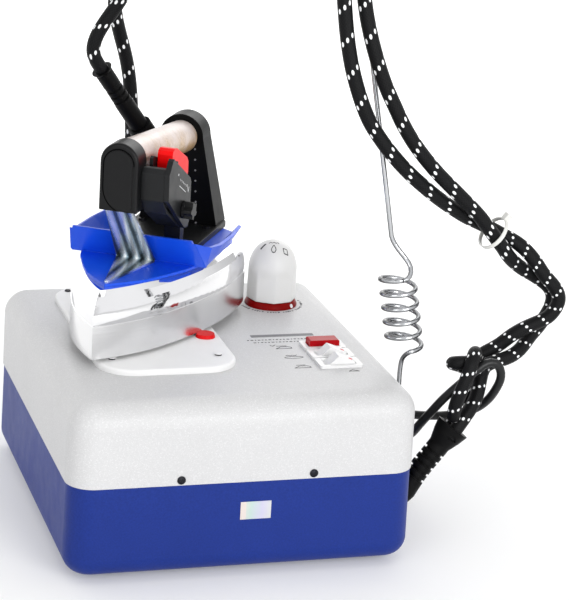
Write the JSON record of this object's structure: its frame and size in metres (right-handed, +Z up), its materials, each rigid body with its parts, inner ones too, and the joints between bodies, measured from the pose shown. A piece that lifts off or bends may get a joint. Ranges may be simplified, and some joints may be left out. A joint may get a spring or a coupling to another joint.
{
  "type": "steam generator iron",
  "caption": "Hand steam iron with a cork grip resting on a boiler housing with rocker switches, a filler cap, and a sprung rod that carries the hoses.",
  "frame": {"origin": "centre of the housing's footprint, on the flat end of the tray's middle boss, which is level with the rubber feet", "axes": "+X to the right side of the housing (the switch side), +Y from the front to the back, +Z up"},
  "size_m": [0.4394, 0.327, 0.6416],
  "materials": {
    "cover_plastic": "satin, fine sparkle",
    "tray_plastic": "satin navy",
    "screw_steel": "black oxide",
    "foot_rubber": "matte",
    "badge": "pearly foil",
    "tank_steel": "brushed",
    "heater_metal": "plain",
    "nut_steel": "zinc",
    "blanket": "woven glass blanket",
    "valve_brass": "machined",
    "coil_black": "moulded",
    "spring_steel": "bright",
    "copper": "drawn copper pipe",
    "red_plastic": "semi gloss",
    "cap_plastic": "satin",
    "seal_rubber": "silicone",
    "switch_white": "semi gloss",
    "pad_plastic": "satin",
    "bumper_red": "silicone",
    "sole_aluminium": "ground and cast",
    "heater_steel": "oxidised sheath",
    "cover_aluminium": "pressed",
    "shell_chrome": "mirror polished",
    "shield_blue": "satin royal blue",
    "handle_black": "fine satin",
    "strap_chrome": "polished, ribbed",
    "hose_rubber": "moulded",
    "cork": "cork under clear film",
    "rod_steel": "bright wire",
    "braid": "black braid with white flecks",
    "mains_grey": "smooth grey sheath",
    "clip_plastic": "moulded",
    "tie_white": "nylon",
    "thermostat_metal": "plated can"
  },
  "bodies": {
    "housing": {"base_tray": "tray_plastic", "top_cover": "cover_plastic", "rubber_feet": "foot_rubber", "front_label": "badge", "boiler_tank": "tank_steel", "boiler_heater": "heater_metal", "heater_bolts": "nut_steel", "boiler_insulation": "blanket", "steam_valve_body": "valve_brass", "steam_valve_coil": "coil_black", "valve_spring": "spring_steel", "steam_pipe": "copper", "cap_ring": "red_plastic", "switch_housings": "switch_white", "iron_rest_pad": "pad_plastic", "rest_bumpers": "bumper_red", "housing_screws": "screw_steel", "rod_socket": "clip_plastic", "rod_coil": "rod_steel", "base_cable_boot": "hose_rubber", "iron_cable": "braid", "steam_hose": "braid", "hose_tie": "tie_white", "mains_cable": "mains_grey", "mains_plug": "hose_rubber"},
    "valve_core": {"valve_plunger": "spring_steel"},
    "cap_carrier": {"cap_seal": "seal_rubber", "cap_spring": "spring_steel"},
    "cap": {"safety_cap": "cap_plastic", "cap_insert": "valve_brass"},
    "rocker_front": {"front_rocker": "switch_white"},
    "rocker_middle": {"middle_rocker": "switch_white"},
    "rocker_rear": {"rear_rocker": "red_plastic"},
    "rod": {"hose_rod": "rod_steel", "hose_clip": "clip_plastic"},
    "iron": {"sole_plate": "sole_aluminium", "sole_heater": "heater_steel", "steam_chamber_cover": "cover_aluminium", "chrome_shell": "shell_chrome", "heat_shield": "shield_blue", "handle_base": "handle_black", "front_strap": "strap_chrome", "front_post": "handle_black", "rear_post": "handle_black", "cable_collar": "hose_rubber", "iron_cable_boot": "hose_rubber", "cork_grip": "cork", "grip_core_rod": "rod_steel", "grip_nut": "nut_steel", "switch_box": "handle_black", "switch_box_cover": "handle_black", "button_spring": "spring_steel", "microswitch": "coil_black", "thermostat_body": "thermostat_metal", "thermostat_column": "handle_black", "steam_inlet": "hose_rubber", "iron_screws": "screw_steel"},
    "button": {"steam_button": "red_plastic"},
    "knob": {"temperature_knob": "handle_black"}
  },
  "joints": [
    {"name": "valve_stroke", "type": "slide", "parent": "housing", "child": "valve_core", "axis": [0, 0, 1], "range_m": [0, 0.0025], "stiffness_N_per_m": 400, "deforming": ["valve_spring"]},
    {"name": "cap_rise", "type": "slide", "parent": "housing", "child": "cap_carrier", "axis": [0, 0, 1], "range_m": [0, 0.012]},
    {"name": "cap_turn", "type": "hinge", "parent": "cap_carrier", "child": "cap", "pos_m": [0.0855, 0.084, 0.16], "axis": [0, 0, 1], "range_deg": [0, 1440]},
    {"name": "front_rocker_tip", "type": "hinge", "parent": "housing", "child": "rocker_front", "pos_m": [0.0965, -0.083, 0.1495], "axis": [0, 1, 0], "range_deg": [0, 22]},
    {"name": "middle_rocker_tip", "type": "hinge", "parent": "housing", "child": "rocker_middle", "pos_m": [0.0965, -0.06, 0.1495], "axis": [0, 1, 0], "range_deg": [0, 22]},
    {"name": "rear_rocker_tip", "type": "hinge", "parent": "housing", "child": "rocker_rear", "pos_m": [0.0965, -0.037, 0.1495], "axis": [0, 1, 0], "range_deg": [-8, 8]},
    {"name": "rod_sway", "type": "hinge", "parent": "housing", "child": "rod", "pos_m": [0.1475, -0.084, 0.196], "axis": [0, 1, 0], "range_deg": [-10, 10], "stiffness_Nm_per_rad": 2, "deforming": ["rod_coil", "iron_cable", "steam_hose"]},
    {"name": "iron_lift", "type": "slide", "parent": "housing", "child": "iron", "axis": [0, 0, 1], "range_m": [0, 0.08], "deforming": ["iron_cable", "steam_hose"]},
    {"name": "steam_press", "type": "hinge", "parent": "iron", "child": "button", "pos_m": [-0.04113, -0.01414, 0.309], "axis": [0.848, -0.5299, 0], "range_deg": [0, 4], "stiffness_Nm_per_rad": 0.3, "deforming": ["button_spring"]},
    {"name": "heat_setting", "type": "hinge", "parent": "iron", "child": "knob", "pos_m": [-0.0246, -0.01032, 0.267], "axis": [0.848, -0.5299, 0], "range_deg": [0, 270]}
  ],
  "couplings": [
    {"joint": "cap_rise", "follows": "cap_turn", "m_per_rad": 0.00047746}
  ]
}
